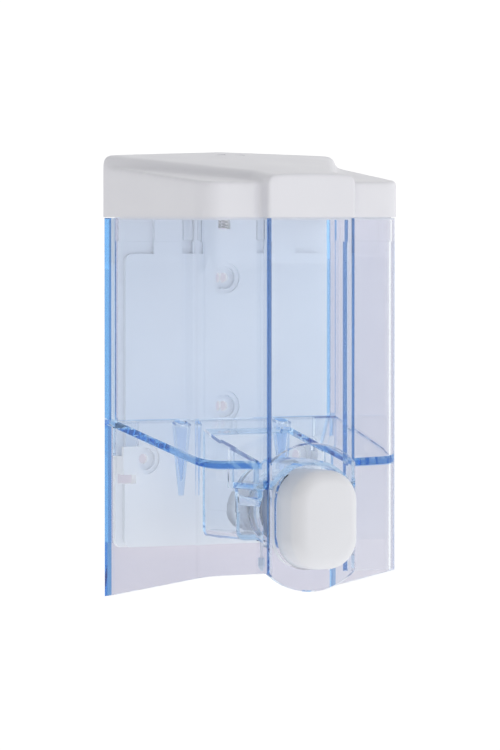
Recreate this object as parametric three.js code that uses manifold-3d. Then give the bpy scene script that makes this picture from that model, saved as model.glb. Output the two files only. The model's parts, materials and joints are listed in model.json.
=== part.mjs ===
// Wall mounted soap dispenser, 0.5 litre, with a push button pump.
// Units are millimetres. The wall is the plane y = 0, the dispenser's front faces -y and +z is up.
// Lengths called "depth" are distances from the wall, and heights count from the lowest edge of the
// tank's skirt. The exported group is lowered by ORIGIN_HEIGHT, so its origin is on the wall, in the
// middle of the wall plate's back.

import * as THREE from 'three';
import { ConvexGeometry } from 'three/addons/geometries/ConvexGeometry.js';
import { mergeVertices } from 'three/addons/utils/BufferGeometryUtils.js';
import Module from 'manifold-3d';

const wasm = await Module();
wasm.setup();

// ---- Driving dimensions ----
const ORIGIN_HEIGHT = 92;
const GAP = 0.3;            // clearance between neighbouring pieces
const WALL = 2.2;           // moulded wall thickness
const PAST = 5;             // how far a cutter runs past the piece it cuts
const ACROSS = [-60, 60];   // limits that run past the whole width
const THROUGH = [0, 90];    // limits that run past the whole depth
const UPWARDS = [0, 300];   // limits that run past the whole height

// Plan outline of the tank: straight sides that narrow forwards, rounded front corners, shallow
// shoulders, and a flat panel that stands forward in the middle.
const HALF_BACK = 54.4;
const CORNER = { x: 45.5, depth: 68 };
const CORNER_RADIUS = 9;
const SHOULDER_DEPTH = 70.2;
const PANEL_HALF = 20;
const PANEL_DEPTH = 74.5;

// Tank
const TANK_TOP = 154.7;
const BACK_WALL = { near: 4.3, far: 6.5 };
const FLOOR = { back: 72, front: 56, thickness: 3.1 };
const SKIRT = { wall: 0, front: 12.4 };
const SUMP = { half: 21.8, back: 19.2, front: 51.2, bottom: 24.6, corner: 4, ledge: 36, thin: 1.4 };
const POCKET = { height: 34.6, radius: 23.3, shelf: 46, back: 49, openHalf: 16.7, openHigh: 21.1 };
const HOOD_SIDE = { topHalf: 22.6, bottomHalf: 19.6, bottom: 35, front: 69 };
const CHANNEL = { half: 23.4, back: 46.8 };
const BOSS = { radius: 30, slope: 0.6, depth: 75.2 };
const COLLAR = { inner: 14.5, outer: 16.4, end: 57.4 };
const PEG = { x: 23, depth: 10, bottom: 41, topRadius: 4.2, tipRadius: 1.1, solidTip: 6, wall: 0.9 };
const TAB = { from: 41, bottom: 57.8 };
const REAR_EDGE = { half: 49.7, skirtHalf: 51.3, skirtDepth: 3.8, bottom: 22 };
const REBATE = { bottom: 145.2, depth: 0.6 };

// Wall plate
const PLATE = { half: 49.3, bottom: 20, top: 170, thickness: 2.2, corner: 3 };
const RAISED = { half: 46, top: 140, depth: 4, neckHalf: 32.6, neckTop: 158 };
const SCREW_WELLS = [[0, 130], [0, 77], [36, 56], [-36, 56]];
const WELL = { ring: 6.3, ringDepth: 3.2, recess: 4.6, recessDepth: 1.6, hole: 2.1 };
const HOOK = { from: 39.5, to: 49, bottom: 50, seat: 57.5, top: 61.5, lip: 6.8, depth: 8.6 };
const WINDOW = { x: 44.5, half: 3.8, bottom: 46 };

// Lid
const LID = { bottom: 155, overhang: 0.6, inset: 1.9, ledge: 157, backCorner: 3.4 };
const LID_LIP = { bottom: 154, outer: 2.5, inner: 4.1, back: 9 };
const SHOULDER = { back: 176, front: 169.4 };
const BAND = {
  backHalf: 55.6, bend: 60, backEdge: 180.3, backPeak: 181.8, frontEdge: 172.2, frontPeak: 172.7,
};
const GROOVE = { width: 2.6, depth: 69.6 };
const CATCH = { half: 9, thick: 1.5, bottom: 161, top: 179 };
const KEY_SLOT = { x: 4.5, half: 2, depth: 9, halfDepth: 1.1 };

// Lock latch and its spring
const LATCH = { half: 30, near: 2.5, far: 11, bottom: 163, top: 165.5 };
const PRONG = { x: 17, half: 2.3, bottom: 145.5, depth: 4 };
const LATCH_SPRING = { depth: 2.2, radius: 1.3, wire: 0.25, turns: 8, bottom: 150 };
const SPRING_SEAT = { half: 1.6, back: 1, slotHalf: 2 };

// Button
const BUTTON = { height: 34, half: 15.1, high: 19.9, corner: 12.7, back: 67, face: 89.3, round: 4 };
const SOCKET = { outer: 5, inner: 3.3, back: 68 };

// Pump, on one horizontal axis
const PUMP = { height: 36.5, outer: 10, inner: 8.3, back: 24, partition: 32, front: 56 };
const FLANGE = { radius: 12.8, back: 53.9, gasket: 13.2 };
const NUT = { radius: 14.1, front: 58.2 };
const CAP = { radius: 9.6, back: 52.5, sealSeat: 56.4, sealRoom: 1.5 };
const ROD = { radius: 3, neck: 2, front: 86.6 };
const ROD_SEAL = { radius: 3.9, thick: 0.5, depth: 57.3 };
const SPRING = { radius: 6.2, wire: 0.55, turns: 6.5, from: 33.2, to: 45.6 };
const PISTON = { back: 46.6, front: 51, radius: 7.7, groove: 1.8, grooveHalf: 1 };
const PISTON_SEAL = { radius: 6.95, thick: 0.75 };

// Inlet valve, upright in the pump's rear block
const INLET = { depth: 28, well: 3, wellTop: 42, passage: 1.8, passageRise: 3 };
const SEAT = { bore: 1.6, radius: 2.7, bottom: 27.2, top: 31 };
const BALL = { radius: 2.35, height: 33.1 };

// Outlet, upright under the pump
const OUTLET = { depth: 35, bore: 1.8, boreTop: 30 };
const NOZZLE = { bore: 0.8, tipRadius: 1.3, radius: 1.4, topRadius: 1.5, bottom: 12.5, bend: 22, top: 28 };
const OUTLET_SEAL = { radius: 2.7, top: 24.2, bottom: 23 };
const DRIP_VALVE = {
  slit: 0.35, tip: 1.1, radius: 2.1, inner: 1.6, bottom: 10.6, bend: 12.8, step: 12.2, top: 16,
};

// ---- Materials ----
const plastic = (color, roughness) => new THREE.MeshStandardMaterial({ color, roughness, metalness: 0 });
const clear = (color, roughness, opacity) => new THREE.MeshStandardMaterial({
  color, roughness, metalness: 0, transparent: true, opacity,
});
const WHITE = plastic(0xe6e7e8, 0.42);
const PLATE_WHITE = plastic(0xe9eaec, 0.5);
const BLUE_CLEAR = clear(0x9dbfe8, 0.06, 0.4);
const MILKY = clear(0xdfe6ee, 0.25, 0.7);
const RUBBER = plastic(0x23262b, 0.7);
const SILICONE = plastic(0xc9d6e4, 0.5);
const STEEL = new THREE.MeshStandardMaterial({ color: 0xb9bcc0, roughness: 0.25, metalness: 1 });

// ---- Solids ----

/** A three.js geometry as a manifold solid. */
function solid(geometry) {
  const bare = geometry.index ? geometry.toNonIndexed() : geometry.clone();
  bare.deleteAttribute('normal');
  bare.deleteAttribute('uv');
  const merged = mergeVertices(bare, 1e-4);
  return new wasm.Manifold(new wasm.Mesh({
    numProp: 3,
    vertProperties: new Float32Array(merged.attributes.position.array),
    triVerts: new Uint32Array(merged.index.array),
  }));
}

/** A manifold solid as a three.js geometry. */
function geometryOf(body) {
  const mesh = body.getMesh();
  const geometry = new THREE.BufferGeometry();
  geometry.setAttribute('position', new THREE.BufferAttribute(mesh.vertProperties, 3));
  geometry.setIndex(new THREE.BufferAttribute(mesh.triVerts, 1));
  geometry.computeVertexNormals();
  return geometry;
}

const joined = (first, ...others) => others.reduce((sum, other) => sum.add(other), first);
const cut = (body, ...tools) => tools.reduce((rest, tool) => rest.subtract(tool), body);

/** A box from its limits across, in depth and in height. */
function box([x0, x1], [depth0, depth1], [low, high]) {
  const geometry = new THREE.BoxGeometry(x1 - x0, depth1 - depth0, high - low);
  geometry.translate((x0 + x1) / 2, -(depth0 + depth1) / 2, (low + high) / 2);
  return solid(geometry);
}

/** A plan outline of [x, depth] points, extruded from one height to another. */
function upright(outline, low, high) {
  const shape = new THREE.Shape(outline.map(([x, depth]) => new THREE.Vector2(x, -depth)));
  const geometry = new THREE.ExtrudeGeometry(shape, { depth: high - low, bevelEnabled: false });
  return solid(geometry.translate(0, 0, low));
}

/** A side outline of [depth, height] points, extruded across from one x to another. */
function sideways(outline, x0, x1) {
  const shape = new THREE.Shape(outline.map(([depth, height]) => new THREE.Vector2(-depth, height)));
  const geometry = new THREE.ExtrudeGeometry(shape, { depth: x1 - x0, bevelEnabled: false });
  const axes = new THREE.Matrix4().makeBasis(
    new THREE.Vector3(0, 1, 0), new THREE.Vector3(0, 0, 1), new THREE.Vector3(1, 0, 0));
  return solid(geometry.applyMatrix4(axes).translate(x0, 0, 0));
}

/** A front outline, a Shape of x and height, extruded forwards from one depth to another. */
function forwards(shape, depth0, depth1, bevel = 0) {
  const geometry = new THREE.ExtrudeGeometry(shape, {
    depth: depth1 - depth0 - bevel, curveSegments: 8, bevelEnabled: bevel > 0,
    bevelThickness: bevel, bevelSize: bevel, bevelOffset: -bevel, bevelSegments: 3,
  });
  return solid(geometry.rotateX(Math.PI / 2).translate(0, -depth0, 0));
}

/** A rounded rectangle centred at x and height, with its half sizes. */
function roundedRectangle(x, height, half, high, radius) {
  const shape = new THREE.Shape();
  const quarter = Math.PI / 2;
  shape.absarc(x + half - radius, height - high + radius, radius, -quarter, 0);
  shape.absarc(x + half - radius, height + high - radius, radius, 0, quarter);
  shape.absarc(x - half + radius, height + high - radius, radius, quarter, 2 * quarter);
  shape.absarc(x - half + radius, height - high + radius, radius, 2 * quarter, 3 * quarter);
  return shape;
}

/** A round piece whose [radius, depth] profile turns about a horizontal axis. */
function turned(profile, height, segments = 36) {
  const points = profile.map(([radius, depth]) => new THREE.Vector2(radius, depth));
  const geometry = new THREE.LatheGeometry(points, segments);
  return solid(geometry.rotateX(Math.PI).translate(0, 0, height));
}

/** A ring or disc between two depths on a horizontal axis. */
function disc(outer, inner, depth0, depth1, height, segments = 36) {
  const profile = [[inner, depth0], [outer, depth0], [outer, depth1], [inner, depth1]];
  if (inner > 0) profile.push([inner, depth0]);
  return turned(profile, height, segments);
}

/** A round piece whose [radius, height] profile turns about an upright axis. */
function spindle(profile, x, depth, segments = 24) {
  const points = profile.map(([radius, height]) => new THREE.Vector2(radius, height));
  const geometry = new THREE.LatheGeometry(points, segments);
  return solid(geometry.rotateX(Math.PI / 2).translate(x, -depth, 0));
}

/** An upright round bar in the middle plane, between two heights. */
const shaft = (radius, low, high, depth) => spindle(
  [[0, low], [radius, low], [radius, high], [0, high]], 0, depth);

/** A coil spring as a wire swept along a helix, about the local z axis from z = 0 up. */
class Helix extends THREE.Curve {
  constructor(radius, length, turns) {
    super();
    Object.assign(this, { radius, length, turns });
  }

  getPoint(t, target = new THREE.Vector3()) {
    const angle = 2 * Math.PI * this.turns * t;
    return target.set(this.radius * Math.cos(angle), this.radius * Math.sin(angle), this.length * t);
  }
}

function coil(radius, wire, length, turns, stepsPerTurn) {
  const section = new THREE.Shape();
  section.absarc(0, 0, wire, 0, 2 * Math.PI);
  return new THREE.ExtrudeGeometry(section, {
    extrudePath: new Helix(radius, length, turns), steps: Math.round(turns * stepsPerTurn), curveSegments: 3,
  });
}

// ---- Plan outline ----

const side = (a, b) => ({ a, b });

/** Where two straight lines cross, each given by two [x, depth] points. */
function crossing(p, q) {
  const [x1, y1] = p.a;
  const [x2, y2] = p.b;
  const [x3, y3] = q.a;
  const [x4, y4] = q.b;
  const t = ((x1 - x3) * (y3 - y4) - (y1 - y3) * (x3 - x4))
    / ((x1 - x2) * (y3 - y4) - (y1 - y2) * (x3 - x4));
  return [x1 + t * (x2 - x1), y1 + t * (y2 - y1)];
}

/** A line moved to its left by a distance. */
function moved({ a, b }, distance) {
  const length = Math.hypot(b[0] - a[0], b[1] - a[1]);
  const nx = -(b[1] - a[1]) / length * distance;
  const ny = (b[0] - a[0]) / length * distance;
  return side([a[0] + nx, a[1] + ny], [b[0] + nx, b[1] + ny]);
}

/** Points of the arc that rounds a corner between two neighbours. */
function rounded(before, corner, after, radius, steps) {
  const towards = (to) => new THREE.Vector2(to[0] - corner[0], to[1] - corner[1]).normalize();
  const u = towards(before);
  const v = towards(after);
  const half = Math.acos(u.dot(v)) / 2;
  const reach = radius / Math.sin(half);
  const centre = u.clone().add(v).normalize().multiplyScalar(reach);
  const start = u.clone().multiplyScalar(radius / Math.tan(half)).sub(centre);
  const end = v.clone().multiplyScalar(radius / Math.tan(half)).sub(centre);
  const turn = Math.atan2(start.cross(end), start.dot(end));
  return Array.from({ length: steps + 1 }, (_, i) => {
    const arm = start.clone().rotateAround(new THREE.Vector2(), turn * i / steps);
    return [corner[0] + centre.x + arm.x, corner[1] + centre.y + arm.y];
  });
}

/** The tank's plan outline, moved inwards by a distance, from a given back depth. */
function plan(inset = 0, back = GAP) {
  const corner = [CORNER.x, CORNER.depth];
  const sideLine = moved(side([HALF_BACK, 0], corner), inset);
  const shoulderLine = moved(side(corner, [PANEL_HALF, SHOULDER_DEPTH]), inset);
  const backLine = side([-1, back], [1, back]);
  const panelX = PANEL_HALF - inset;
  const insideCorner = crossing(sideLine, shoulderLine);
  const right = [
    crossing(sideLine, backLine),
    ...rounded(sideLine.a, insideCorner, shoulderLine.b, Math.max(CORNER_RADIUS - inset, 1), 9),
    crossing(shoulderLine, side([panelX, 0], [panelX, 1])),
    [panelX, PANEL_DEPTH - inset],
  ];
  const left = right.map(([x, depth]) => [-x, depth]).reverse();
  return [...right, ...left];
}

/** The tank floor's height at a depth, along its top face. */
function floorHeight(depth) {
  const slope = (FLOOR.front - FLOOR.back) / (PANEL_DEPTH - BACK_WALL.far);
  return FLOOR.back + slope * (depth - BACK_WALL.far);
}

/** Everything above a line that slopes from the wall to the front, offset in height. */
function aboveLine(heightAt, offset, ceiling = 300) {
  const far = PANEL_DEPTH + 2 * PAST;
  return sideways([
    [-PAST, heightAt(-PAST) + offset], [far, heightAt(far) + offset], [far, ceiling], [-PAST, ceiling],
  ], -HALF_BACK - PAST, HALF_BACK + PAST);
}

// ---- Tank ----

/** Everything above the tank floor's top face. */
const aboveFloor = () => aboveLine(floorHeight, 0);

/** A box for the sump with rounded lower edges, its sides, ends and bottom moved in. */
function sumpBlock(inset, sideInset = inset) {
  const half = SUMP.half - sideInset;
  const middle = (SUMP.bottom + inset + TANK_TOP) / 2;
  const outline = roundedRectangle(0, middle, half, TANK_TOP - middle, SUMP.corner - inset);
  return forwards(outline, SUMP.back + inset, SUMP.front - inset);
}

/** The sump's inside: thick walls round the pump's inlet, and thinner ones above the ledge. */
function sumpInside() {
  const wide = sumpBlock(WALL, SUMP.thin).intersect(box(ACROSS, THROUGH, [SUMP.ledge, TANK_TOP]));
  return joined(sumpBlock(WALL), wide).subtract(box(ACROSS, [POCKET.back, THROUGH[1]], UPWARDS));
}

/** The channel between the button's hood and the tank's front, where the floor steps down. */
function channel() {
  const ends = [CHANNEL.back, PANEL_DEPTH - 1];
  const block = box([-CHANNEL.half, CHANNEL.half], ends, [POCKET.shelf, floorHeight(CHANNEL.back)]);
  const hood = disc(POCKET.radius, 0, ...ends, POCKET.height, 72);
  const lower = box([-HALF_BACK, HALF_BACK], [0, PANEL_DEPTH], [0, POCKET.shelf]);
  return joined(block, cut(hood, lower)).intersect(upright(plan(WALL / 2), 0, TANK_TOP));
}

/** The two walls beside the button that hang from the hood's shelf and end half way down. */
function hoodSides() {
  const { topHalf, bottomHalf, bottom, front } = HOOD_SIDE;
  const top = POCKET.shelf + 1;
  return [-1, 1].map((way) => {
    const shape = new THREE.Shape([
      new THREE.Vector2(way * topHalf, top), new THREE.Vector2(way * (topHalf - WALL), top),
      new THREE.Vector2(way * (bottomHalf - WALL), bottom), new THREE.Vector2(way * bottomHalf, bottom),
    ]);
    return forwards(shape, SUMP.front - WALL, front);
  });
}

/** The soap's share of the channel: above the shelf and outside the hood. */
function channelSoap() {
  const half = CHANNEL.half - WALL;
  const ends = [CHANNEL.back + WALL, PANEL_DEPTH - WALL];
  const space = box([-half, half], ends, [POCKET.shelf + WALL, FLOOR.back + PAST]);
  const hood = disc(POCKET.radius, 0, 0, PANEL_DEPTH, POCKET.height, 72);
  return cut(space, hood).intersect(upright(plan(WALL), 0, TANK_TOP));
}

/** The button's side of the hood, open to the skirt below. */
function hoodInside() {
  const hollow = disc(POCKET.radius - WALL, 0, POCKET.back + WALL, PANEL_DEPTH - WALL, POCKET.height, 72);
  return hollow.intersect(upright(plan(WALL), 0, TANK_TOP));
}

function skirtCut() {
  const reach = BOSS.depth + PAST;
  const edge = [
    [-PAST, -PAST], [reach, -PAST], [reach, SKIRT.front], [SHOULDER_DEPTH, SKIRT.front], [0, SKIRT.wall],
    [-PAST, SKIRT.wall],
  ];
  return sideways(edge, -HALF_BACK - PAST, HALF_BACK + PAST);
}

function tankShell() {
  const outside = upright(plan(), 0, TANK_TOP);
  const liquid = upright(plan(WALL, BACK_WALL.far), 0, TANK_TOP + PAST).intersect(aboveFloor());
  const floorBase = floorHeight(0) - FLOOR.thickness;
  const bead = box(ACROSS, [-PAST, REAR_EDGE.skirtDepth], [REAR_EDGE.bottom, floorBase])
    .subtract(box([-REAR_EDGE.skirtHalf, REAR_EDGE.skirtHalf], [-2 * PAST, PAST], UPWARDS));
  const underFloor = upright(plan(WALL, -PAST), -PAST, TANK_TOP)
    .subtract(aboveLine(floorHeight, -FLOOR.thickness)).subtract(bead);
  const behind = box(
    [-REAR_EDGE.half, REAR_EDGE.half], [-PAST, BACK_WALL.near], [floorBase - PAST, TANK_TOP + PAST]);
  const rebate = upright(plan(WALL - REBATE.depth, BACK_WALL.far), REBATE.bottom, TANK_TOP + PAST);
  return cut(outside, liquid, underFloor, behind, rebate, skirtCut());
}

/** The low round pad about the button's opening, as wide as the panel, that ends the skirt. */
function boss() {
  const { radius, slope, depth } = BOSS;
  const round = turned([
    [0, PANEL_DEPTH - WALL], [radius, PANEL_DEPTH - WALL], [radius, PANEL_DEPTH],
    [radius - slope, depth], [0, depth],
  ], POCKET.height, 72);
  return round.intersect(box([-PANEL_HALF, PANEL_HALF], THROUGH, UPWARDS));
}

/** The two ears beside the back wall that hang in the plate's hooks. */
function hangerTabs() {
  const blank = upright(plan(WALL - 1, BACK_WALL.near), TAB.bottom, FLOOR.back);
  const slice = box(ACROSS, [BACK_WALL.near, BACK_WALL.far], [TAB.bottom, FLOOR.back]);
  return cut(blank.intersect(slice), box([-TAB.from, TAB.from], THROUGH, UPWARDS));
}

/** A tapered peg under the floor, at the back. */
function peg(x) {
  const top = floorHeight(PEG.depth) - 1;
  const outside = [[0, PEG.bottom], [PEG.tipRadius, PEG.bottom], [PEG.topRadius, top], [0, top]];
  return spindle(outside, x, PEG.depth, 20);
}

function pegHollow(x) {
  const top = floorHeight(PEG.depth) + PAST;
  const tip = PEG.bottom + PEG.solidTip;
  const radius = PEG.topRadius - PEG.wall;
  return spindle([[0, tip], [GAP, tip], [radius, top], [0, top]], x, PEG.depth, 20);
}

function tank() {
  const opening = roundedRectangle(
    0, POCKET.height, POCKET.openHalf, POCKET.openHigh, BUTTON.corner + POCKET.openHalf - BUTTON.half);
  const collar = disc(COLLAR.outer, COLLAR.inner, POCKET.back + 1, COLLAR.end, PUMP.height);
  const underFloor = joined(sumpBlock(0), channel()).subtract(aboveFloor());
  let body = joined(
    tankShell(), boss(), underFloor, ...hoodSides(), hangerTabs(), peg(PEG.x), peg(-PEG.x));
  body = cut(
    body,
    hoodInside(), channelSoap(),
    forwards(opening, PANEL_DEPTH - 2 * WALL, BOSS.depth + PAST),
    sumpInside(),
    pegHollow(PEG.x), pegHollow(-PEG.x),
  );
  return cut(
    joined(body, collar),
    disc(PUMP.outer + GAP, 0, PUMP.back - GAP, SUMP.front + PAST, PUMP.height),
    shaft(OUTLET.bore, 0, OUTLET.boreTop, OUTLET.depth),
  );
}

// ---- Wall plate ----

/** What one fixing screw takes out of the plate: a ring, a recess and a hole. */
function screwWell([x, height]) {
  const steps = [[WELL.ring, WELL.ringDepth], [WELL.recess, WELL.recessDepth], [WELL.hole, -PAST]];
  return joined(...steps.map(([radius, from]) => disc(radius, 0, from, RAISED.depth + PAST, height)))
    .translate([x, 0, 0]);
}

/** What one side of the plate adds: a hook for the tank. */
function plateHook(way) {
  const across = [way * HOOK.from, way * HOOK.to].sort((a, b) => a - b);
  return joined(
    box(across, [0, HOOK.depth], [HOOK.bottom, HOOK.seat]),
    box(across, [HOOK.lip, HOOK.depth], [HOOK.bottom, HOOK.top]));
}

/** What one side of the plate loses: the prong's groove and the window under the hook. */
function plateOpenings(way) {
  const reach = PRONG.half + GAP;
  return joined(
    box([way * PRONG.x - reach, way * PRONG.x + reach], [PLATE.thickness, RAISED.depth + PAST],
      [RAISED.top, PLATE.top + PAST]),
    box([way * WINDOW.x - WINDOW.half, way * WINDOW.x + WINDOW.half], [-PAST, PLATE.thickness + PAST],
      [WINDOW.bottom, HOOK.bottom]));
}

function wallPlate() {
  const block = (half, low, high, depth) => forwards(
    roundedRectangle(0, (low + high) / 2, half, (high - low) / 2, PLATE.corner), 0, depth);
  const body = joined(
    block(PLATE.half, PLATE.bottom, PLATE.top, PLATE.thickness),
    block(RAISED.half, PLATE.bottom, RAISED.top, RAISED.depth),
    block(RAISED.neckHalf, PLATE.bottom, RAISED.neckTop, RAISED.depth),
    plateHook(-1), plateHook(1));
  const springSlot = box([-SPRING_SEAT.slotHalf, SPRING_SEAT.slotHalf], [-PAST, PAST],
    [LATCH_SPRING.bottom, PLATE.top + PAST]);
  return cut(body, springSlot, plateOpenings(-1), plateOpenings(1), ...SCREW_WELLS.map(screwWell));
}

// ---- Lock latch ----

function lockLatch() {
  const bar = box([-LATCH.half, LATCH.half], [LATCH.near, LATCH.far], [LATCH.bottom, LATCH.top]);
  const springSeat = box([-SPRING_SEAT.half, SPRING_SEAT.half], [SPRING_SEAT.back, LATCH.near + 1],
    [LATCH.bottom, LATCH.top]);
  const prongs = [-1, 1].map((way) => box(
    [way * PRONG.x - PRONG.half, way * PRONG.x + PRONG.half],
    [LATCH.near, PRONG.depth], [PRONG.bottom, LATCH.top]));
  return joined(bar, springSeat, ...prongs);
}

// ---- Lid ----

/** The lid's sloping top: everything under the shoulders and the gabled band, lowered by an inset. */
function lidTop(inset) {
  const far = PANEL_DEPTH + LID.overhang - inset;
  const shoulderAt = (depth) => SHOULDER.back
    + (SHOULDER.front - SHOULDER.back) * depth / CORNER.depth - inset;
  const shoulders = sideways([
    [-PAST, LID.bottom - PAST * 3], [far, LID.bottom - PAST * 3], [far, shoulderAt(far)],
    [-PAST, shoulderAt(-PAST)],
  ], -HALF_BACK - PAST, HALF_BACK + PAST);
  return joined(shoulders, bandPart(inset, -PAST, BAND.bend), bandPart(inset, BAND.bend, far));
}

/** A stretch of the gabled band, which narrows up to its bend and then runs straight to the front. */
function bandPart(inset, near, far) {
  const front = PANEL_DEPTH + LID.overhang;
  const frontHalf = PANEL_HALF + LID.overhang;
  const points = [];
  for (const depth of [near, far]) {
    const half = THREE.MathUtils.lerp(BAND.backHalf, frontHalf, Math.min(depth / BAND.bend, 1)) - inset;
    const edge = THREE.MathUtils.lerp(BAND.backEdge, BAND.frontEdge, depth / front) - inset;
    const peak = THREE.MathUtils.lerp(BAND.backPeak, BAND.frontPeak, depth / front) - inset;
    for (const way of [-1, 1]) {
      points.push(new THREE.Vector3(way * half, -depth, LID.bottom - PAST * 2));
      points.push(new THREE.Vector3(way * half, -depth, edge));
    }
    points.push(new THREE.Vector3(0, -depth, peak));
  }
  return solid(new ConvexGeometry(points));
}

/** The lid's outline from the front, with both top corners rounded, moved in by an inset. */
function lidFront(inset) {
  const half = HALF_BACK + LID.overhang - inset;
  const top = BAND.backEdge - inset;
  const radius = LID.backCorner - inset;
  const shape = new THREE.Shape([new THREE.Vector2(-half, 0), new THREE.Vector2(half, 0)]);
  shape.absarc(half - radius, top - radius, radius, 0, Math.PI / 2);
  shape.lineTo(0, BAND.backPeak + 1 - inset);
  shape.absarc(radius - half, top - radius, radius, Math.PI / 2, Math.PI);
  return forwards(shape, -2 * PAST, PANEL_DEPTH + PAST);
}

/** The lid: a thin shell with a lip, a catch for the latch, two key slots and grooves beside the band. */
function lid() {
  const top = BAND.backPeak + PAST;
  const outside = upright(plan(-LID.overhang), LID.bottom, top).intersect(lidTop(0))
    .intersect(lidFront(0));
  const cavity = upright(plan(LID.inset, -PAST), LID.ledge, top).intersect(lidTop(WALL))
    .intersect(lidFront(WALL));
  const mouth = upright(plan(LID_LIP.inner, -PAST), LID.bottom - PAST, LID.ledge + 1);
  const lipRing = upright(plan(LID_LIP.outer), LID_LIP.bottom, LID.ledge)
    .subtract(upright(plan(LID_LIP.inner, -PAST), LID_LIP.bottom - PAST, LID.ledge + PAST))
    .subtract(box(ACROSS, [-PAST, LID_LIP.back], UPWARDS));
  const rearRelief = upright(plan(LID.inset, -PAST), LID.bottom - PAST, LID.ledge + 1)
    .intersect(box(ACROSS, [-PAST, LID_LIP.back], UPWARDS));
  const catchRib = box([-CATCH.half, CATCH.half],
    [LATCH.far + GAP, LATCH.far + GAP + CATCH.thick], [CATCH.bottom, CATCH.top]);
  const inner = PANEL_HALF + LID.overhang;
  const grooves = [[-inner - GROOVE.width, -inner], [inner, inner + GROOVE.width]].map((across) => box(
    across, [GROOVE.depth, THROUGH[1]], UPWARDS));
  const slots = [-1, 1].map((way) => box(
    [way * KEY_SLOT.x - KEY_SLOT.half, way * KEY_SLOT.x + KEY_SLOT.half],
    [KEY_SLOT.depth - KEY_SLOT.halfDepth, KEY_SLOT.depth + KEY_SLOT.halfDepth], [SHOULDER.front, top]));
  return cut(
    joined(cut(outside, cavity, mouth, rearRelief), lipRing, catchRib), ...slots, ...grooves);
}

// ---- Button and rod ----

/** The button: a hollow shell, open behind, with a socket for the rod. */
function button() {
  const outline = roundedRectangle(0, BUTTON.height, BUTTON.half, BUTTON.high, BUTTON.corner);
  const inner = roundedRectangle(
    0, BUTTON.height, BUTTON.half - WALL, BUTTON.high - WALL, BUTTON.corner - WALL);
  const skin = forwards(outline, BUTTON.back - BUTTON.round, BUTTON.face, BUTTON.round)
    .subtract(box(ACROSS, [0, BUTTON.back], UPWARDS));
  const hollow = forwards(inner, BUTTON.back - PAST, BUTTON.face - WALL - BUTTON.round / 2);
  const socket = disc(SOCKET.outer, SOCKET.inner, SOCKET.back, BUTTON.face - WALL, PUMP.height, 20);
  return cut(
    joined(cut(skin, hollow), socket),
    disc(SOCKET.inner, 0, BUTTON.back, ROD.front + GAP, PUMP.height, 20));
}

function pushRod() {
  return turned([
    [0, PISTON.back + GAP], [ROD.neck, PISTON.back + GAP], [ROD.neck, PISTON.front + GAP],
    [ROD.radius, PISTON.front + GAP], [ROD.radius, ROD.front], [0, ROD.front],
  ], PUMP.height, 20);
}

// ---- Pump ----

function pumpBody() {
  const shell = disc(PUMP.outer, 0, PUMP.back, PUMP.front, PUMP.height);
  const flange = disc(FLANGE.radius, 0, FLANGE.back, PUMP.front, PUMP.height);
  const bore = disc(PUMP.inner, 0, PUMP.partition, PUMP.front + PAST, PUMP.height);
  const valveWell = shaft(INLET.well, 0, INLET.wellTop, INLET.depth);
  const passage = disc(
    INLET.passage, 0, INLET.depth, PUMP.partition + 1, PUMP.height + INLET.passageRise, 12);
  const outletHole = shaft(OUTLET.bore, 0, PUMP.height, OUTLET.depth);
  return cut(joined(shell, flange), bore, valveWell, passage, outletHole);
}

function pumpGasket() {
  return disc(FLANGE.gasket, PUMP.outer + GAP, SUMP.front + GAP, FLANGE.back - GAP, PUMP.height);
}

function pumpNut() {
  return disc(NUT.radius, PUMP.outer, PUMP.front + GAP, NUT.front, PUMP.height);
}

/** The guide of the rod, that closes the cylinder and holds the rod's seal. */
function pumpCap() {
  const inner = ROD.radius + GAP;
  const spigot = PUMP.inner - GAP;
  return turned([
    [inner, CAP.back], [spigot, CAP.back], [spigot, PUMP.front + GAP],
    [CAP.radius, PUMP.front + GAP], [CAP.radius, NUT.front], [inner + CAP.sealRoom, NUT.front],
    [inner + CAP.sealRoom, CAP.sealSeat], [inner, CAP.sealSeat], [inner, CAP.back],
  ], PUMP.height);
}

function piston() {
  const { radius, groove, grooveHalf, back, front } = PISTON;
  const middle = (back + front) / 2;
  const bore = ROD.neck + GAP;
  return turned([
    [bore, back], [radius, back], [radius, middle - grooveHalf], [radius - groove, middle - grooveHalf],
    [radius - groove, middle + grooveHalf], [radius, middle + grooveHalf], [radius, front],
    [bore, front], [bore, back],
  ], PUMP.height, 28);
}

/** A rubber ring of round section on the pump's axis. */
function ring(radius, thick, depth, segments = 28) {
  const geometry = new THREE.TorusGeometry(radius, thick, 8, segments);
  return solid(geometry.rotateX(Math.PI / 2).translate(0, -depth, PUMP.height));
}

function inletSeat() {
  const { bore, radius, bottom, top } = SEAT;
  return spindle(
    [[bore, bottom], [radius, bottom], [radius, top], [bore, top], [bore, bottom]], 0, INLET.depth);
}

function nozzle() {
  const { bore, tipRadius, radius, topRadius, bottom, bend, top } = NOZZLE;
  return spindle([
    [bore, bottom], [tipRadius, bottom], [radius, bend], [topRadius, top], [bore, top], [bore, bottom],
  ], 0, OUTLET.depth, 20);
}

function outletSeal() {
  const { radius, top, bottom } = OUTLET_SEAL;
  return spindle([
    [OUTLET.bore, bottom], [radius, bottom], [radius, top], [OUTLET.bore, top], [OUTLET.bore, bottom],
  ], 0, OUTLET.depth, 20);
}

/** The soft cap on the nozzle's end, drawn with its slit as a small round hole. */
function dripValve() {
  const { slit, tip, radius, inner, bottom, bend, step, top } = DRIP_VALVE;
  return spindle([
    [slit, bottom], [tip, bottom], [radius, bend], [radius, top], [inner, top], [inner, step], [slit, step],
    [slit, bottom],
  ], 0, OUTLET.depth, 20);
}

// ---- Assembly ----

const dispenser = new THREE.Group();
dispenser.position.z = -ORIGIN_HEIGHT;

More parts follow.
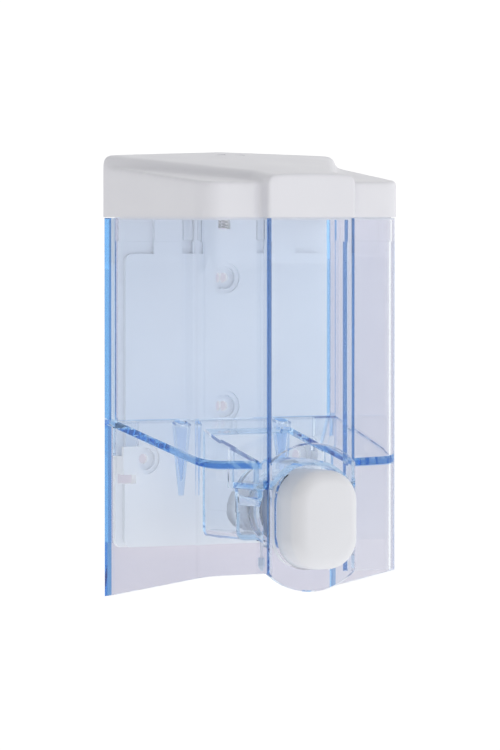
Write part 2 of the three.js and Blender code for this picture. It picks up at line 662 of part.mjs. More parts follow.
/** Adds a named piece, from a manifold solid or a finished geometry. */
function add(name, shape, material) {
  const mesh = new THREE.Mesh(shape.isBufferGeometry ? shape : geometryOf(shape), material);
  mesh.name = name;
  dispenser.add(mesh);
  return mesh;
}

add('wall_plate', wallPlate(), PLATE_WHITE);
add('lock_latch', lockLatch(), WHITE);
add('tank', tank(), BLUE_CLEAR);
add('lid', lid(), WHITE);
add('button', button(), WHITE);
add('push_rod', pushRod(), WHITE);
add('pump_body', pumpBody(), MILKY);
add('pump_gasket', pumpGasket(), SILICONE);
add('pump_nut', pumpNut(), MILKY);
add('pump_cap', pumpCap(), MILKY);
add('piston', piston(), WHITE);
add('piston_seal', ring(PISTON_SEAL.radius, PISTON_SEAL.thick, (PISTON.back + PISTON.front) / 2), RUBBER);
add('rod_seal', ring(ROD_SEAL.radius, ROD_SEAL.thick, ROD_SEAL.depth, 20), RUBBER);
add('inlet_seat', inletSeat(), WHITE);
add('nozzle', nozzle(), MILKY);
add('outlet_seal', outletSeal(), RUBBER);
add('outlet_valve', dripValve(), SILICONE);

const ball = add('inlet_ball', new THREE.IcosahedronGeometry(BALL.radius, 2), STEEL);
ball.position.set(0, -INLET.depth, BALL.height);

const returnSpring = add(
  'return_spring', coil(SPRING.radius, SPRING.wire, SPRING.to - SPRING.from, SPRING.turns, 14), STEEL);
returnSpring.rotation.x = Math.PI / 2;
returnSpring.position.set(0, -SPRING.from, PUMP.height);

const latchLength = LATCH.bottom - LATCH_SPRING.bottom - 2 * GAP - 2 * LATCH_SPRING.wire;
const latchSpring = add(
  'latch_spring', coil(LATCH_SPRING.radius, LATCH_SPRING.wire, latchLength, LATCH_SPRING.turns, 10), STEEL);
latchSpring.position.set(0, -LATCH_SPRING.depth, LATCH_SPRING.bottom + GAP + LATCH_SPRING.wire);

export default dispenser;
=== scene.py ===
"""Looks of the wall mounted soap dispenser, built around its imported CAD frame.

Units are metres. The wall is the plane y = 0, the front faces -y and +z is up. "depth" is a distance
from the wall, so y = -depth.
"""

import json
import math

import bmesh
import bpy
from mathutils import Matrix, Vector


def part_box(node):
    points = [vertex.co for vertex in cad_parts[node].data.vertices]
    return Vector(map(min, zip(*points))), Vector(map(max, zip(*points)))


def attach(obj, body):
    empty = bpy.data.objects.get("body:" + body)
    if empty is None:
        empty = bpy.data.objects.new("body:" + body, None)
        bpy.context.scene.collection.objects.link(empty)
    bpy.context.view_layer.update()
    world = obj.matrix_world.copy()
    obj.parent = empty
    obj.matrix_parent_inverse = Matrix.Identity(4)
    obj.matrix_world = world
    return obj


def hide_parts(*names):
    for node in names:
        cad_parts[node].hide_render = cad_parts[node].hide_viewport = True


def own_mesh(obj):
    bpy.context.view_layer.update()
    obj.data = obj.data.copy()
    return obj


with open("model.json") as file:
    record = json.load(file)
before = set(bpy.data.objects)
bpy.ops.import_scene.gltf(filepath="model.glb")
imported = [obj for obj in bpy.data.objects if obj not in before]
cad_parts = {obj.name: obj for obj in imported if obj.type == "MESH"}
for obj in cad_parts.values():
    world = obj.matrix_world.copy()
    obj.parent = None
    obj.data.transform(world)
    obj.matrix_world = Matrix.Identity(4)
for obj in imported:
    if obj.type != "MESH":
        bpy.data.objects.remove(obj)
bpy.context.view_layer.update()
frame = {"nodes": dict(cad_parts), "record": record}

# ---- Sizes that the frame gives ----
LID_LOW, LID_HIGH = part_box("lid")
TANK_LOW, TANK_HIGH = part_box("tank")
BUTTON_LOW, BUTTON_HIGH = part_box("button")
ROD_LOW, ROD_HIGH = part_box("push_rod")

# ---- Lid ----
WALL = 0.0022
GAP = 0.0003
LID_BOTTOM = TANK_HIGH.z + GAP
LID_BACK = -LID_HIGH.y
LID_FRONT = -LID_LOW.y
LID_HALF = LID_HIGH.x
PANEL_HALF = 0.0206
SHOULDER_CORNER = (0.0461, 0.0686)
SHOULDER_AT_PANEL = 0.0708
CORNER_RADIUS = 0.0096
SHOULDER_RISE = {"back": 0.0210, "front": 0.0144}
BAND = {"back_half": 0.0556, "front_half": 0.0206, "back_edge": 0.0253, "back_peak": 0.0268,
        "front_edge": 0.0172, "front_peak": 0.0177}
BEND = 0.0600
BAND_ROUND = 0.0038
BAND_STEPS = 8
GROOVE = {"width": 0.0026, "depth": 0.0696}
BACK_CORNER = 0.0034
LEDGE = 0.0020
LIP = {"outer": 0.0021, "inner": 0.0037, "drop": 0.0010, "back": 0.0090}
KEY_SLOT = {"x": 0.0045, "half": 0.0020, "depth": 0.0090, "half_depth": 0.0011}
CATCH = {"half": 0.0090, "near": 0.0113, "far": 0.0128, "bottom": 0.0060, "top": 0.0240}
VOXEL = 0.0006
FILLET_STEPS = 40
SPARE = 0.0080
OVERLAP = 0.0010
WIDE = (-1, 1)              # limits that run past the whole object
SHARPER_THAN = {"lid": 38, "button": 40, "spring": 50, "cad": 35}     # degrees

# ---- Button ----
BUTTON_CORNER = 0.0127
BUTTON_ROUND = 0.0055
BUTTON_DOME = 0.0013
BUTTON_RINGS = 26
BUTTON_MIDDLE = 0.0005      # half width that closes the dome as one flat face
SMALLEST_CORNER = 0.0004
ROUND_STEPS = 48
SOCKET = {"outer": 0.0050, "inner": 0.0033}


# ---- Springs: (joint that presses it, direction from the fixed end, turns, wire radius, share kept) ----
SPRINGS = {
    "return_spring": ("button_press", Vector((0, -1, 0)), 6.5, 0.00055, 0.41),
    "latch_spring": ("latch_press", Vector((0, 0, 1)), 8.0, 0.00025, 0.81),
}
END_CLOSING = 0.3
TURN_STEPS = 28
WIRE_SIDES = 10


# ---- Mesh helpers ----

def mesh_object(name, verts, faces):
    """A new object from vertices and faces, linked to the scene."""
    mesh = bpy.data.meshes.new(name)
    mesh.from_pydata([tuple(v) for v in verts], [], faces)
    obj = bpy.data.objects.new(name, mesh)
    bpy.context.scene.collection.objects.link(obj)
    outwards(obj)
    return obj


def outwards(obj):
    """Turns every face of a closed mesh outwards."""
    bm = bmesh.new()
    bm.from_mesh(obj.data)
    bmesh.ops.recalc_face_normals(bm, faces=bm.faces)
    bm.to_mesh(obj.data)
    bm.free()


def hull(name, points):
    """The convex solid round some points."""
    bm = bmesh.new()
    for point in points:
        bm.verts.new(point)
    result = bmesh.ops.convex_hull(bm, input=bm.verts)
    spare = result["geom_interior"] + result["geom_unused"]
    loose = {item for item in spare if isinstance(item, bmesh.types.BMVert)}
    bmesh.ops.delete(bm, geom=list(loose), context="VERTS")
    mesh = bpy.data.meshes.new(name)
    bm.to_mesh(mesh)
    bm.free()
    obj = bpy.data.objects.new(name, mesh)
    bpy.context.scene.collection.objects.link(obj)
    outwards(obj)
    return obj


def block(xs, depths, heights):
    """A box from its limits across, in depth and in height."""
    return hull("block", [(x, -d, z) for x in xs for d in depths for z in heights])


def prism(outline, low, high):
    """An upright prism over an outline of (x, depth) points."""
    count = len(outline)
    verts = [(x, -d, z) for z in (low, high) for x, d in outline]
    sides = [(i, (i + 1) % count, count + (i + 1) % count, count + i) for i in range(count)]
    return mesh_object("prism", verts, [tuple(range(count))[::-1], tuple(range(count, 2 * count)), *sides])


def apply_modifiers(obj):
    """Replaces an object's mesh by what its modifiers make of it."""
    graph = bpy.context.evaluated_depsgraph_get()
    mesh = bpy.data.meshes.new_from_object(obj.evaluated_get(graph))
    obj.modifiers.clear()
    obj.data = mesh


def boolean(obj, tools, operation):
    """Applies one boolean operation with each tool in turn, and removes the tools."""
    for tool in tools:
        step = obj.modifiers.new(operation, "BOOLEAN")
        step.operation = operation
        step.solver = "EXACT"
        step.object = tool
        apply_modifiers(obj)
        bpy.data.objects.remove(tool)
    return obj


def smooth_by_angle(obj, degrees):
    """Smooth shading that keeps edges sharper than an angle."""
    obj.data.shade_smooth()
    obj.data.set_sharp_from_angle(angle=math.radians(degrees))


# ---- Lid ----

def plan_outline(inset=0.0, back=LID_BACK, steps=10):
    """The lid's outline from above as (x, depth) points, moved in by an inset."""
    side = Vector((SHOULDER_CORNER[0] - LID_HALF, SHOULDER_CORNER[1])).normalized()
    front = Vector((PANEL_HALF - SHOULDER_CORNER[0], SHOULDER_AT_PANEL - SHOULDER_CORNER[1])).normalized()
    radius = CORNER_RADIUS - inset
    half_turn = math.acos(side.dot(front)) / 2
    bisector = (front - side).normalized()
    centre = Vector(SHOULDER_CORNER) + bisector * CORNER_RADIUS / math.cos(half_turn)
    start = math.atan2(-side.x, side.y)
    out = [Vector((math.cos(start + t * 2 * half_turn), math.sin(start + t * 2 * half_turn)))
           for t in [i / steps for i in range(steps + 1)]]
    arc = [centre + radius * direction for direction in out]
    back_x = arc[0].x - side.x / side.y * (arc[0].y - back)
    reach = (arc[-1].x - (PANEL_HALF - inset)) / -front.x
    right = [Vector((back_x, back)), *arc, arc[-1] + front * reach,
             Vector((PANEL_HALF - inset, LID_FRONT - inset))]
    return [(p.x, p.y) for p in right] + [(-p.x, p.y) for p in reversed(right)]


def lid_top(inset, back):
    """Everything under the lid's shoulders and its gabled band, lowered by an inset."""
    low = LID_BOTTOM - 3 * SPARE
    far = LID_FRONT - inset + (SPARE if inset == 0 else 0)
    slope = (SHOULDER_RISE["front"] - SHOULDER_RISE["back"]) / SHOULDER_CORNER[1]
    wide = LID_HALF + SPARE

    def shoulder(depth):
        return LID_BOTTOM + SHOULDER_RISE["back"] + slope * depth - inset

    shoulders = hull("shoulders", [(x, -d, z) for x in (-wide, wide) for d in (back, far)
                                   for z in (low, shoulder(d))])
    parts = [hull("band", band_points(inset, low, ends)) for ends in ((back, BEND), (BEND, far))]
    return boolean(shoulders, parts, "UNION")


def rounded_corner(x, z, radius, steps):
    """(x, z) points of the arc that rounds an upper right corner."""
    arc = [math.pi / 2 * i / steps for i in range(steps + 1)]
    return [(x - radius + radius * math.cos(a), z - radius + radius * math.sin(a)) for a in arc]


def band_points(inset, low, depths):
    """Corners of a stretch of the band, which narrows up to its bend and then runs straight."""
    points = []
    for depth in depths:
        narrowing = min(depth / BEND, 1)
        t = depth / LID_FRONT
        half = BAND["back_half"] + narrowing * (BAND["front_half"] - BAND["back_half"])
        edge, peak = (BAND["back_" + key] + t * (BAND["front_" + key] - BAND["back_" + key])
                      for key in ("edge", "peak"))
        half -= inset
        top = LID_BOTTOM + edge - inset
        profile = [(half, low), *rounded_corner(half, top, BAND_ROUND - inset, BAND_STEPS)]
        points += [(way * x, -depth, z) for way in (-1, 1) for x, z in profile]
        points.append((0, -depth, LID_BOTTOM + peak - inset))
    return points


def lid_front(inset):
    """The lid's outline from the front, with both top corners rounded, as a long prism."""
    half = LID_HALF - inset
    top = LID_BOTTOM + BAND["back_edge"] - inset
    right = [(half, LID_BOTTOM - 3 * SPARE), *rounded_corner(half, top, BACK_CORNER - inset, BAND_STEPS)]
    outline = right + [(0, LID_BOTTOM + BAND["back_peak"] + OVERLAP)] + [(-x, z) for x, z in reversed(right)]
    return hull("front", [(x, y, z) for x, z in outline for y in (2 * SPARE, -LID_FRONT - SPARE)])


def lid_outside():
    """The lid's outer shape with soft fillets, solid, with spare length below and behind."""
    body = prism(plan_outline(back=-SPARE), LID_BOTTOM - SPARE, LID_HIGH.z + SPARE)
    boolean(body, [lid_top(0.0, -SPARE), lid_front(0.0)], "INTERSECT")
    grooves = []
    for way in (-1, 1):
        across = (way * PANEL_HALF, way * (PANEL_HALF + GROOVE["width"]))
        grooves.append(block(across, (GROOVE["depth"], WIDE[1]), WIDE))
    boolean(body, grooves, "DIFFERENCE")
    remesh = body.modifiers.new("voxels", "REMESH")
    remesh.mode = "VOXEL"
    remesh.voxel_size = VOXEL
    soften = body.modifiers.new("fillets", "SMOOTH")
    soften.factor = 0.5
    soften.iterations = FILLET_STEPS
    apply_modifiers(body)
    return body


def lid_cavity():
    """What is hollow in the lid: the inside, the mouth within the lip, and the relief behind."""
    top = LID_HIGH.z + SPARE
    cavity = prism(plan_outline(WALL, -SPARE), LID_BOTTOM + LEDGE, top)
    boolean(cavity, [lid_top(WALL, -SPARE), lid_front(WALL)], "INTERSECT")
    heights = (LID_BOTTOM - 2 * SPARE, LID_BOTTOM + LEDGE + OVERLAP)
    mouth = prism(plan_outline(LIP["inner"], -SPARE), *heights)
    relief = boolean(
        prism(plan_outline(WALL, -SPARE), *heights),
        [block(WIDE, (-2 * SPARE, LIP["back"]), WIDE)], "INTERSECT")
    return boolean(cavity, [mouth, relief], "UNION")


def lid_lip():
    """The ring under the lid that sits inside the tank's rim."""
    top = LID_BOTTOM + LEDGE
    ring = prism(plan_outline(LIP["outer"]), LID_BOTTOM - LIP["drop"], top)
    inner = prism(plan_outline(LIP["inner"], -SPARE), LID_BOTTOM - SPARE, top + SPARE)
    return boolean(ring, [inner, block(WIDE, (-SPARE, LIP["back"]), WIDE)], "DIFFERENCE")


def lid():
    """The whole lid: a thin shell with a lip, a catch for the latch and two key slots."""
    shell = lid_outside()
    shell.name = shell.data.name = "lid_shell"
    below = block(WIDE, WIDE, (WIDE[0], LID_BOTTOM))
    behind = block(WIDE, (WIDE[0], LID_BACK), WIDE)
    boolean(shell, [below, behind, lid_cavity()], "DIFFERENCE")
    catch = block((-CATCH["half"], CATCH["half"]), (CATCH["near"], CATCH["far"]),
                  (LID_BOTTOM + CATCH["bottom"], LID_BOTTOM + CATCH["top"]))
    boolean(shell, [lid_lip(), catch], "UNION")
    slots = []
    for way in (-1, 1):
        xs = [way * KEY_SLOT["x"] + side * KEY_SLOT["half"] for side in (-1, 1)]
        depths = [KEY_SLOT["depth"] + side * KEY_SLOT["half_depth"] for side in (-1, 1)]
        slots.append(block(xs, depths, (LID_BOTTOM + SHOULDER_RISE["front"], LID_HIGH.z + SPARE)))
    boolean(shell, slots, "DIFFERENCE")
    smooth_by_angle(shell, SHARPER_THAN["lid"])
    return shell


# ---- Button ----

def rounded_rectangle(inset, steps=14):
    """(x, z) points round the button's outline, moved in by an inset."""
    centre = (BUTTON_LOW.z + BUTTON_HIGH.z) / 2
    half = BUTTON_HIGH.x - inset
    high = (BUTTON_HIGH.z - BUTTON_LOW.z) / 2 - inset
    radius = min(max(BUTTON_CORNER - inset, SMALLEST_CORNER), half)
    points = []
    for quarter, (sx, sz) in enumerate(((1, 1), (-1, 1), (-1, -1), (1, -1))):
        for i in range(steps + 1):
            angle = math.pi / 2 * (quarter + i / steps)
            points.append((sx * (half - radius) + radius * math.cos(angle),
                           centre + sz * (high - radius) + radius * math.sin(angle)))
    return points


def button_front(inset):
    """The y of the button's domed front at an inset from its outline."""
    half = BUTTON_HIGH.x
    dome = BUTTON_DOME * (1 - inset / half) ** 2
    left = max(BUTTON_ROUND - inset, 0)
    return BUTTON_LOW.y + dome + BUTTON_ROUND - math.sqrt(BUTTON_ROUND ** 2 - left ** 2)


def bridged(rings):
    """Vertices and faces that join rings of equal length and close both ends."""
    count = len(rings[0])
    verts = [point for ring in rings for point in ring]
    faces = [tuple(range(count)), tuple(range(len(verts) - count, len(verts)))]
    for r in range(len(rings) - 1):
        for i in range(count):
            j = (i + 1) % count
            faces.append((r * count + i, r * count + j, (r + 1) * count + j, (r + 1) * count + i))
    return verts, faces


def button():
    """The push button: a domed shell, hollow behind, with a socket for the rod."""
    half = BUTTON_HIGH.x
    back = BUTTON_HIGH.y
    rings = [[(x, back, z) for x, z in rounded_rectangle(0)]]
    for i in range(BUTTON_RINGS + 1):
        t = i / BUTTON_RINGS
        inset = (half - BUTTON_MIDDLE) * t ** 1.6
        rings.append([(x, button_front(inset), z) for x, z in rounded_rectangle(inset)])
    shell = mesh_object("button_shell", *bridged(rings))
    floor = BUTTON_LOW.y + WALL + BUTTON_ROUND / 2
    hollow = [[(x, y, z) for x, z in rounded_rectangle(WALL)] for y in (back + SPARE, floor)]
    boolean(shell, [mesh_object("hollow", *bridged(hollow))], "DIFFERENCE")
    axis_z = (ROD_LOW.z + ROD_HIGH.z) / 2
    circle = [2 * math.pi * i / ROUND_STEPS for i in range(ROUND_STEPS)]

    def tube(radius, y0, y1):
        ends = [[(radius * math.cos(a), y, axis_z + radius * math.sin(a)) for a in circle] for y in (y0, y1)]
        return mesh_object("tube", *bridged(ends))

    boolean(shell, [tube(SOCKET["outer"], back - OVERLAP, floor - OVERLAP)], "UNION")
    boolean(shell, [tube(SOCKET["inner"], back + SPARE, ROD_LOW.y - GAP)], "DIFFERENCE")
    smooth_by_angle(shell, SHARPER_THAN["button"])
    return shell


# ---- Springs ----

def spring(node, along, turns, wire_radius):
    """A coil spring in its CAD node's box, wound from its fixed end, with closer turns at both ends."""
    low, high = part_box(node)
    middle = (low + high) / 2
    length = abs((high - low).dot(along)) - 2 * wire_radius
    start = middle - along * length / 2
    radius = (high.x - low.x) / 2 - wire_radius
    across = Vector((1, 0, 0))
    upwards = along.cross(across)
    rings = []
    count = round(turns * TURN_STEPS)
    for i in range(count + 1):
        t = i / count
        angle = 2 * math.pi * turns * t
        outward = across * math.cos(angle) + upwards * math.sin(angle)
        rise = t - END_CLOSING * math.sin(2 * math.pi * t) / (2 * math.pi)
        centre = start + along * length * rise + outward * radius
        ring = [2 * math.pi * k / WIRE_SIDES for k in range(WIRE_SIDES)]
        rings.append([centre + (outward * math.cos(a) + along * math.sin(a)) * wire_radius for a in ring])
    wound = mesh_object(node + "_coil", *bridged(rings))
    smooth_by_angle(wound, SHARPER_THAN["spring"])
    return wound


# ---- Materials ----

# Zones of the clear tank painted deeper blue: a painted glow standing in for light carried along the clear
# walls to their edges. A height over the floor is counted along its slope.
ZONE_SOFTNESS = 0.0002
BOSS_RISE = 0.0007
REAR_BAND = {"width": 0.0010, "depth": 0.0050}
# Painted glow colours: deeper blue painted where light trapped in the clear walls would show
REAR_PAINTED_GLOW = (0.04, 0.24, 0.72)
PANEL_EDGE = (0.0187, 0.0203)
PANEL_PAINTED_GLOW = (0.05, 0.15, 0.45)
FLOOR_SLOPE = 0.2353
FLOOR_EDGE = (-0.0213, -0.0188)
FLOOR_PAINTED_GLOW = (0.35, 0.58, 0.88)
PEG_ZONE = {"x": (0.0185, 0.0275), "y": (-0.0143, -0.0057), "drop": (-0.0500, -0.0225)}
PEG_PAINTED_GLOW = (0.70, 0.82, 0.97)


class Nodes:
    """A short way to write a node tree."""

    def __init__(self, tree):
        self.tree = tree

    def add(self, kind, **values):
        """Adds a node. A value named like an input sets or links it, and any other sets a property."""
        node = self.tree.nodes.new(kind)
        for key, value in values.items():
            if hasattr(node, key):
                setattr(node, key, value)
            else:
                self.set(node.inputs[key.replace("_", " ")], value)
        return node

    def set(self, socket, value):
        if isinstance(value, bpy.types.NodeSocket):
            self.tree.links.new(value, socket)
        else:
            socket.default_value = value

    def ramp(self, value, low, high):
        """Maps a 0 to 1 value to a range."""
        node = self.add("ShaderNodeMapRange")
        self.set(node.inputs["Value"], value)
        node.inputs["To Min"].default_value = low
        node.inputs["To Max"].default_value = high
        return node.outputs["Result"]

    def mix(self, factor, first, second):
        node = self.add("ShaderNodeMix", data_type="RGBA")
        self.set(node.inputs["Factor"], factor)
        self.set(node.inputs["A"], (*first, 1.0) if isinstance(first, tuple) else first)
        self.set(node.inputs["B"], (*second, 1.0) if isinstance(second, tuple) else second)
        return node.outputs["Result"]

    def noise(self, scale, detail=3.0, stretch=(1, 1, 1)):
        """Noise over the object's own coordinates, in features per metre."""
        place = self.add("ShaderNodeTexCoord").outputs["Object"]
        mapping = self.add("ShaderNodeMapping")
        self.set(mapping.inputs["Vector"], place)
        mapping.inputs["Scale"].default_value = stretch
        node = self.add("ShaderNodeTexNoise")
        self.set(node.inputs["Vector"], mapping.outputs["Vector"])
        node.inputs["Scale"].default_value = scale
        node.inputs["Detail"].default_value = detail
        return node.outputs["Fac"]

    def bump(self, height, distance, strength=1.0):
        node = self.add("ShaderNodeBump")
        self.set(node.inputs["Height"], height)
        node.inputs["Distance"].default_value = distance
        node.inputs["Strength"].default_value = strength
        return node.outputs["Normal"]


def linear(red, green, blue):
    """An sRGB colour from 0 to 255, no darker than 11, as linear light."""
    return tuple(((c / 255 + 0.055) / 1.055) ** 2.4 for c in (red, green, blue))


def new_material(name):
    material = bpy.data.materials.new(name)
    material.use_nodes = True
    nodes = Nodes(material.node_tree)
    shader = material.node_tree.nodes["Principled BSDF"]
    return material, nodes, shader


def plastic(name, light, dark, rough, grain, depth, metal=0.0, mottle=60.0, coat=0.0):
    """A moulded surface: faint mottling, uneven gloss and a fine grain."""
    material, nodes, shader = new_material(name)
    cloud = nodes.noise(mottle, 4.0)
    fine = nodes.noise(grain, 2.0)
    nodes.set(shader.inputs["Base Color"], nodes.mix(nodes.ramp(cloud, 0.1, 0.9), light, dark))
    nodes.set(shader.inputs["Roughness"], nodes.ramp(cloud, rough - 0.06, rough + 0.06))
    nodes.set(shader.inputs["Normal"], nodes.bump(fine, depth))
    shader.inputs["Metallic"].default_value = metal
    shader.inputs["Coat Weight"].default_value = coat
    return material


def wire(name):
    """Drawn spring wire: bright metal with fine drawing marks."""
    material, nodes, shader = new_material(name)
    marks = nodes.noise(2500.0, 2.0)
    nodes.set(shader.inputs["Base Color"], nodes.mix(marks, linear(198, 200, 204), linear(150, 152, 158)))
    nodes.set(shader.inputs["Roughness"], nodes.ramp(marks, 0.18, 0.34))
    nodes.set(shader.inputs["Normal"], nodes.bump(marks, 0.00002))
    shader.inputs["Metallic"].default_value = 1.0
    return material


def clear_plastic(name, absorbed, tint_light, tint_dark, rough, ripple, let_through):
    """Clear plastic that takes up light along its way, given per metre for red, green and blue.

    Rays that light what is inside pass straight through, tinted by let_through.
    """
    material, nodes, shader = new_material(name)
    cloud = nodes.noise(25.0, 2.0)
    nodes.set(shader.inputs["Base Color"], nodes.mix(cloud, tint_light, tint_dark))
    nodes.set(shader.inputs["Roughness"], nodes.ramp(cloud, rough, rough + 0.01))
    nodes.set(shader.inputs["Normal"], nodes.bump(nodes.noise(45.0, 1.0, (1, 1, 0.35)), ripple))
    shader.inputs["Transmission Weight"].default_value = 1.0
    shader.inputs["IOR"].default_value = 1.46
    densest = max(absorbed) * 1.02
    inside = nodes.add("ShaderNodeVolumeAbsorption")
    inside.inputs["Color"].default_value = (*[1 - a / densest for a in absorbed], 1.0)
    inside.inputs["Density"].default_value = densest
    path = nodes.add("ShaderNodeLightPath")
    lighting = nodes.add("ShaderNodeMath", operation="MAXIMUM")
    nodes.set(lighting.inputs[0], path.outputs["Is Shadow Ray"])
    nodes.set(lighting.inputs[1], path.outputs["Is Diffuse Ray"])
    straight = nodes.add("ShaderNodeBsdfTransparent")
    straight.inputs["Color"].default_value = (*let_through, 1.0)
    either = nodes.add("ShaderNodeMixShader")
    nodes.set(either.inputs[0], lighting.outputs[0])
    nodes.set(either.inputs[1], shader.outputs[0])
    nodes.set(either.inputs[2], straight.outputs[0])
    output = material.node_tree.nodes["Material Output"]
    nodes.set(output.inputs["Surface"], either.outputs[0])
    nodes.set(output.inputs["Volume"], inside.outputs[0])
    return material


def between(nodes, value, low, high, soft):
    """1 where a value lies between two limits, with soft ends."""
    ends = []
    for start, end in ((low - soft, low + soft), (high + soft, high - soft)):
        step = nodes.add("ShaderNodeMapRange", interpolation_type="SMOOTHSTEP")
        nodes.set(step.inputs["Value"], value)
        step.inputs["From Min"].default_value = start
        step.inputs["From Max"].default_value = end
        ends.append(step.outputs["Result"])
    both = nodes.add("ShaderNodeMath", operation="MULTIPLY")
    nodes.set(both.inputs[0], ends[0])
    nodes.set(both.inputs[1], ends[1])
    return both.outputs[0]


def painted_glow_zone(material, colour, x=None, y=None, slope_height=None):
    """Paints a deeper colour, a painted glow of light carried in the clear walls, where |x|, y and the
    height over the floor are all in range.
    """
    nodes = Nodes(material.node_tree)
    shader = material.node_tree.nodes["Principled BSDF"]
    place = nodes.add("ShaderNodeTexCoord").outputs["Object"]
    axes = nodes.add("ShaderNodeSeparateXYZ")
    nodes.set(axes.inputs[0], place)
    away = nodes.add("ShaderNodeMath", operation="ABSOLUTE")
    nodes.set(away.inputs[0], axes.outputs["X"])
    over = nodes.add("ShaderNodeVectorMath", operation="DOT_PRODUCT")
    nodes.set(over.inputs[0], place)
    over.inputs[1].default_value = (0, -FLOOR_SLOPE, 1)
    inside = 1.0
    measures = ((x, away.outputs[0]), (y, axes.outputs["Y"]), (slope_height, over.outputs["Value"]))
    for limits, value in measures:
        if limits is None:
            continue
        both = nodes.add("ShaderNodeMath", operation="MULTIPLY")
        nodes.set(both.inputs[0], between(nodes, value, *limits, ZONE_SOFTNESS))
        nodes.set(both.inputs[1], inside)
        inside = both.outputs[0]
    # Painted glow: the deeper colour is mixed into the base colour inside the zone
    before = shader.inputs["Base Color"].links[0].from_socket
    nodes.set(shader.inputs["Base Color"], nodes.mix(inside, before, colour))


def tank_material():
    """Clear pale blue plastic, with a painted glow of deeper blue where its rear edges, panel edges and
    floor would catch light, and by the pegs.
    """
    material = clear_plastic(
        "tank_clear", (17.0, 9.0, 3.0), (0.985, 0.985, 0.99), (0.97, 0.97, 0.98), 0.0, 0.00001,
        (0.97, 0.98, 1.0))
    panel = TANK_LOW.y + BOSS_RISE
    # Painted glow at the rear edges, panel edges, floor edge and pegs
    painted_glow_zone(material, REAR_PAINTED_GLOW, x=(TANK_HIGH.x - REAR_BAND["width"], 1), y=(-REAR_BAND["depth"], 1))
    painted_glow_zone(material, PANEL_PAINTED_GLOW, x=PANEL_EDGE, y=(panel - 0.0005, panel + 0.0015))
    painted_glow_zone(material, FLOOR_PAINTED_GLOW, x=(PANEL_HALF, 1), slope_height=FLOOR_EDGE)
    painted_glow_zone(material, PEG_PAINTED_GLOW, x=PEG_ZONE["x"], y=PEG_ZONE["y"], slope_height=PEG_ZONE["drop"])
    return material


def slot_materials():
    """One material for each material slot of the record."""
    return {
        "plate_plastic": plastic(
            "plate_plastic", linear(246, 247, 250), linear(238, 239, 243), 0.48, 1400.0, 0.00003),
        "white_plastic": plastic(
            "white_plastic", linear(236, 237, 240), linear(226, 227, 231), 0.42, 1600.0, 0.00002),
        "lid_plastic": plastic(
            "lid_plastic", linear(229, 229, 234), linear(223, 223, 229), 0.40, 2200.0, 0.00003),
        "button_plastic": plastic(
            "button_plastic", linear(228, 229, 233), linear(221, 222, 227), 0.34, 1800.0, 0.00002),
        "tank_clear": tank_material(),
        "pump_milky": clear_plastic(
            "pump_milky", (6.0, 4.0, 2.0), (0.95, 0.96, 0.98), (0.90, 0.92, 0.96), 0.3, 0.00003,
            (0.97, 0.98, 1.0)),
        "seal_rubber": plastic(
            "seal_rubber", linear(34, 37, 46), linear(24, 26, 34), 0.62, 2400.0, 0.00004),
        "seal_blue": plastic(
            "seal_blue", linear(30, 48, 92), linear(22, 36, 74), 0.55, 2400.0, 0.00004),
        "silicone": plastic(
            "silicone", linear(206, 216, 232), linear(194, 205, 224), 0.5, 1800.0, 0.00003),
        "spring_steel": wire("spring_steel"),
    }


def set_material(obj, material):
    if not obj.material_slots:
        obj.data.materials.append(material)
    for place in obj.material_slots:
        place.material = material


def soften_edges(obj, width):
    """Rounds a CAD node's edges a little with modifiers, so they catch the light."""
    weld = obj.modifiers.new("weld", "WELD")
    weld.merge_threshold = 0.000001
    flat = obj.modifiers.new("flat", "DECIMATE")
    flat.decimate_type = "DISSOLVE"
    flat.angle_limit = math.radians(0.4)
    bevel = obj.modifiers.new("edges", "BEVEL")
    bevel.width = width
    bevel.segments = 2
    bevel.limit_method = "ANGLE"
    bevel.angle_limit = math.radians(SHARPER_THAN["cad"])
    shade = obj.modifiers.new("shading", "WEIGHTED_NORMAL")
    shade.keep_sharp = True
    shade.weight = 100


# ---- Studio ----

FLOOR = {"size": 60, "height": -0.35, "glow": 0.30}
CARD = {"size": 0.5, "behind": 0.004}
LIGHT = 1.05
# Broad soft patches of the studio's light: (direction from the object, gain in its middle)
LIGHT_PATCHES = (((-1, -0.5, 0), 0.36), ((0, 0, 1), 0.62), ((0.25, -1, 0.1), 1.34))
PATCH_EDGE = (0.2, 0.95)
CAMERA = {"turn": 30, "dip": 1.87, "sideways": 0.01245, "distance": 2.154, "height": 0.068,
          "lens": 250.1, "sensor": 36}
BOUNCES = 160


def studio_floor():
    """A plain pale floor far below."""
    bpy.ops.mesh.primitive_plane_add(size=FLOOR["size"], location=(0, 0, FLOOR["height"]))
    floor = bpy.context.object
    floor.name = "floor"
    paint = plastic("floor_paint", (0.985, 0.985, 0.985), (0.975, 0.975, 0.975), 0.9, 20.0, 0.0001)
    glow = paint.node_tree.nodes["Principled BSDF"]
    glow.inputs["Emission Color"].default_value = (1, 1, 1, 1)
    glow.inputs["Emission Strength"].default_value = FLOOR["glow"]
    set_material(floor, paint)


def wall_card():
    """A grey card on the wall behind, seen only through the clear plastic."""
    bpy.ops.mesh.primitive_plane_add(
        size=CARD["size"], location=(0, CARD["behind"], 0), rotation=(math.pi / 2, 0, 0))
    card = bpy.context.object
    card.name = "wall_card"
    card.visible_camera = False
    card.visible_diffuse = False
    card.visible_glossy = False
    card.visible_shadow = False
    paint = plastic("wall_paint", linear(226, 221, 231), linear(220, 215, 226), 0.9, 400.0, 0.0001)
    set_material(card, paint)


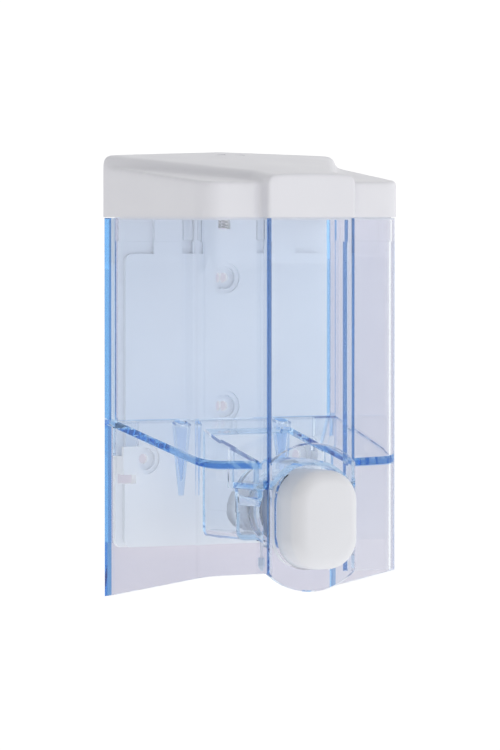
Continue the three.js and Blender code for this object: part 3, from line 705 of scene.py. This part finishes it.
def studio_light():
    """A white studio, brighter in front and dimmer at the left and above."""
    world = bpy.data.worlds.new("studio")
    bpy.context.scene.world = world
    world.use_nodes = True
    nodes = Nodes(world.node_tree)
    view = nodes.add("ShaderNodeTexCoord").outputs["Generated"]
    strength = LIGHT
    for direction, gain in LIGHT_PATCHES:
        side = nodes.add("ShaderNodeVectorMath", operation="DOT_PRODUCT")
        nodes.set(side.inputs[0], view)
        side.inputs[1].default_value = Vector(direction).normalized()
        patch = nodes.add("ShaderNodeMapRange", interpolation_type="SMOOTHSTEP")
        nodes.set(patch.inputs["Value"], side.outputs["Value"])
        ends = zip(("From Min", "From Max", "To Min", "To Max"), (*PATCH_EDGE, 1.0, gain))
        for name, value in ends:
            patch.inputs[name].default_value = value
        product = nodes.add("ShaderNodeMath", operation="MULTIPLY")
        nodes.set(product.inputs[0], patch.outputs["Result"])
        nodes.set(product.inputs[1], strength)
        strength = product.outputs[0]
    background = world.node_tree.nodes["Background"]
    background.inputs["Color"].default_value = (1, 1, 1, 1)
    nodes.set(background.inputs["Strength"], strength)


def camera():
    """Level with the lid, to the left of the front."""
    data = bpy.data.cameras.new("camera")
    obj = bpy.data.objects.new("camera", data)
    bpy.context.scene.collection.objects.link(obj)
    turn = math.radians(CAMERA["turn"])
    towards = Vector((math.sin(turn), math.cos(turn), 0))
    across = Vector((math.cos(turn), -math.sin(turn), 0))
    level = Vector((0, 0, CAMERA["height"]))
    obj.location = across * CAMERA["sideways"] - towards * CAMERA["distance"] + level
    obj.rotation_euler = (math.radians(90 - CAMERA["dip"]), 0, -turn)
    data.sensor_width = CAMERA["sensor"]
    data.lens = CAMERA["lens"]
    bpy.context.scene.camera = obj


def render_settings():
    """Enough bounces for light that is trapped in the clear walls."""
    scene = bpy.context.scene
    scene.view_settings.view_transform = "Standard"
    scene.cycles.max_bounces = BOUNCES
    scene.cycles.transmission_bounces = BOUNCES
    scene.cycles.glossy_bounces = BOUNCES
    scene.cycles.transparent_max_bounces = 32


# ---- Assembly ----

EDGE_WIDTHS = {"wall_plate": 0.0006, "tank": 0.0003, "lock_latch": 0.0003, "pump_nut": 0.0003,
               "pump_cap": 0.0002, "pump_body": 0.0003, "pump_gasket": 0.0002, "piston": 0.0002,
               "push_rod": 0.0003, "inlet_seat": 0.0002, "outlet_seal": 0.0001}
materials = slot_materials()
slots = {item["node"]: item["material_slot"] for item in frame["record"]["subparts"]}
body_of = {node: body for body, nodes in frame["record"]["behaviour"]["bodies"].items() for node in nodes}
for node, obj in frame["nodes"].items():
    set_material(obj, materials[slots[node]])
    if node in EDGE_WIDTHS:
        soften_edges(obj, EDGE_WIDTHS[node])
    smooth_by_angle(obj, SHARPER_THAN["cad"])

for build, node in ((lid, "lid"), (button, "button")):
    piece = build()
    set_material(piece, materials[slots[node]])
    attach(piece, body_of[node])
    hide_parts(node)

for node, (joint, along, turns, wire_radius, keep) in SPRINGS.items():
    piece = spring(node, along, turns, wire_radius)
    set_material(piece, materials[slots[node]])
    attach(piece, body_of[node])
    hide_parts(node)
    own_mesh(piece)

studio_floor()
wall_card()
studio_light()
camera()
render_settings()
